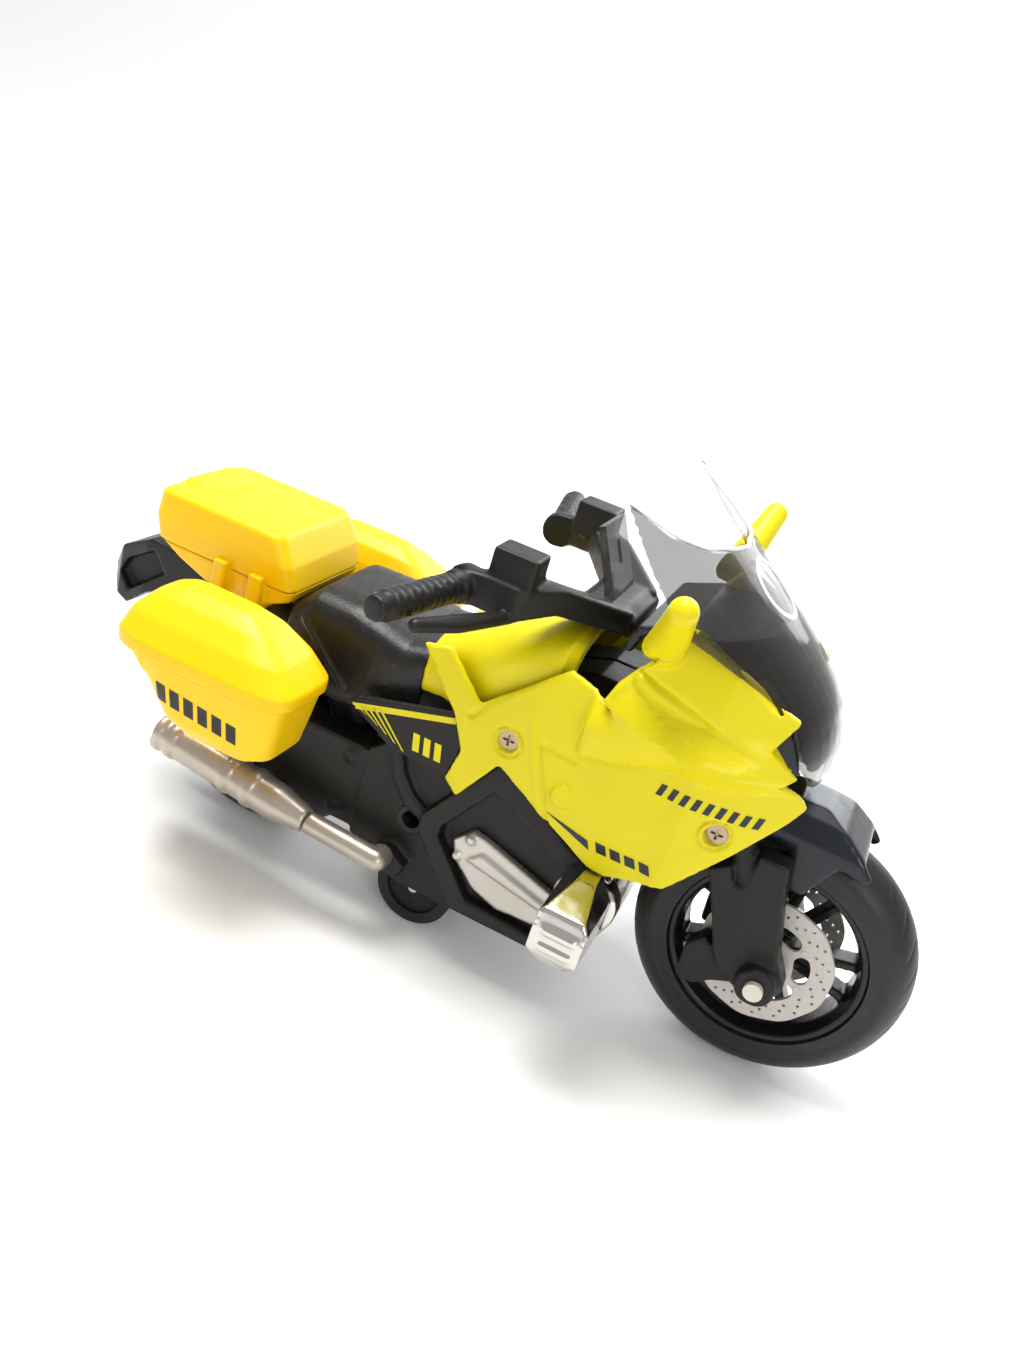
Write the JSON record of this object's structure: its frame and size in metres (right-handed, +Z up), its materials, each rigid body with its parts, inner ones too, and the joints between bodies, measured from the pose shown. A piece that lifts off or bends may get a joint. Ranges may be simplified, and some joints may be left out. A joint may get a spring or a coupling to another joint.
{
  "type": "radio-controlled toy motorcycle",
  "caption": "Radio-controlled toy touring motorcycle with a fairing, windshield, side panniers, top box, steering front fork, geared rear wheel and small stabiliser wheels.",
  "frame": {"origin": "on the ground under the middle of the bike's length and width", "axes": "+X forward along the bike, +Y to the bike's left, +Z up; the wheel axles run along Y"},
  "size_m": [0.184, 0.0966, 0.1036],
  "materials": {
    "body_yellow": "moulded lemon-yellow plastic, satin",
    "box_yellow": "moulded golden-yellow plastic, satin",
    "black_plastic": "moulded black plastic, satin",
    "black_gloss": "black plastic, gloss",
    "seat_black": "black plastic with a grained top, satin",
    "soft_black": "soft black plastic, matt",
    "silver_plastic": "silver metallic paint, satin",
    "exhaust_silver": "warm silver metallic paint, satin",
    "chrome_trim": "vacuum plated, bright",
    "smoked_clear": "smoked clear plastic, polished",
    "clear_lens": "clear plastic lens, polished",
    "battery_wrap": "heat-shrink sleeve, gloss",
    "board_green": "solder mask, satin",
    "steel": "drawn steel, satin",
    "screw_steel": "passivated steel, satin",
    "axle_beige": "beige-grey paint, satin",
    "copper_wire": "enamelled copper wire",
    "disc_grey": "light grey metallic paint, satin",
    "rim_black": "black plastic, semi-gloss",
    "road_tyre": "black rubber, matt",
    "white_nylon": "natural nylon, matt"
  },
  "bodies": {
    "chassis": {"chassis_right": "black_plastic", "chassis_left": "black_plastic", "steering_head": "black_plastic", "gearbox_cover": "black_plastic", "engine_cover_right": "silver_plastic", "engine_cover_left": "silver_plastic", "cylinder_head_right": "chrome_trim", "cylinder_head_left": "chrome_trim", "engine_front_cover": "silver_plastic", "fairing_right": "body_yellow", "fairing_left": "body_yellow", "front_cowl_right": "body_yellow", "front_cowl_left": "body_yellow", "windshield": "smoked_clear", "nose_liner": "black_gloss", "headlight": "clear_lens", "tank_cover": "body_yellow", "side_trim_right": "black_plastic", "side_trim_left": "black_plastic", "seat": "seat_black", "tail_rail": "black_plastic", "top_box_base": "box_yellow", "top_box_lid": "box_yellow", "pannier_case_right": "box_yellow", "pannier_lid_right": "box_yellow", "pannier_case_left": "box_yellow", "pannier_lid_left": "box_yellow", "exhaust_can": "exhaust_silver", "exhaust_header": "exhaust_silver", "handlebar": "black_plastic", "instrument_panel": "smoked_clear", "battery": "battery_wrap", "battery_door": "black_plastic", "circuit_board": "board_green", "drive_motor": "steel", "steering_coil": "copper_wire", "charge_socket": "black_plastic", "switch_housing": "black_plastic", "gear_pins": "steel", "stabiliser_axle": "steel", "body_screws": "screw_steel"},
    "steering": {"fork_leg_right": "black_plastic", "fork_leg_left": "black_plastic", "fork_bridge": "black_plastic", "front_fender": "black_gloss", "front_axle": "axle_beige", "steering_magnet": "steel"},
    "front_wheel": {"front_tyre": "road_tyre", "front_rim": "rim_black", "front_discs": "disc_grey"},
    "rear_wheel": {"rear_tyre": "road_tyre", "rear_rim": "rim_black", "rear_axle": "steel", "rear_gear": "white_nylon"},
    "motor_rotor": {"motor_pinion": "white_nylon"},
    "idler_front": {"idler_gear_front": "white_nylon"},
    "idler_rear": {"idler_gear_rear": "white_nylon"},
    "stabiliser_right": {"stabiliser_wheel_right": "soft_black"},
    "stabiliser_left": {"stabiliser_wheel_left": "soft_black"},
    "power_switch": {"switch_slider": "black_plastic"}
  },
  "joints": [
    {"name": "steering", "type": "hinge", "parent": "chassis", "child": "steering", "pos_m": [0.065, 0, 0.027], "axis": [-0.454, 0, 0.891], "range_deg": [-15, 15], "stiffness_Nm_per_rad": 0.02},
    {"name": "front_wheel_spin", "type": "hinge", "parent": "steering", "child": "front_wheel", "pos_m": [0.065, 0, 0.027], "axis": [0, 1, 0], "continuous": true},
    {"name": "rear_wheel_spin", "type": "hinge", "parent": "chassis", "child": "rear_wheel", "pos_m": [-0.049, 0, 0.027], "axis": [0, 1, 0], "continuous": true},
    {"name": "idler_rear_spin", "type": "hinge", "parent": "chassis", "child": "idler_rear", "pos_m": [-0.0345, 0, 0.027], "axis": [0, 1, 0], "continuous": true},
    {"name": "idler_front_spin", "type": "hinge", "parent": "chassis", "child": "idler_front", "pos_m": [-0.0215, 0, 0.027], "axis": [0, 1, 0], "continuous": true},
    {"name": "motor_pinion_spin", "type": "hinge", "parent": "chassis", "child": "motor_rotor", "pos_m": [-0.0125, 0, 0.027], "axis": [0, 1, 0], "continuous": true},
    {"name": "stabiliser_right_spin", "type": "hinge", "parent": "chassis", "child": "stabiliser_right", "pos_m": [-0.0035, 0, 0.0091], "axis": [0, 1, 0], "continuous": true},
    {"name": "stabiliser_left_spin", "type": "hinge", "parent": "chassis", "child": "stabiliser_left", "pos_m": [-0.0035, 0, 0.0091], "axis": [0, 1, 0], "continuous": true},
    {"name": "power_switch", "type": "slide", "parent": "chassis", "child": "power_switch", "axis": [1, 0, 0], "range_m": [0, 0.002]}
  ],
  "couplings": [
    {"joint": "idler_rear_spin", "follows": "rear_wheel_spin", "ratio": -1.2308},
    {"joint": "idler_front_spin", "follows": "rear_wheel_spin", "ratio": 1.2308},
    {"joint": "motor_pinion_spin", "follows": "rear_wheel_spin", "ratio": -3.2}
  ]
}
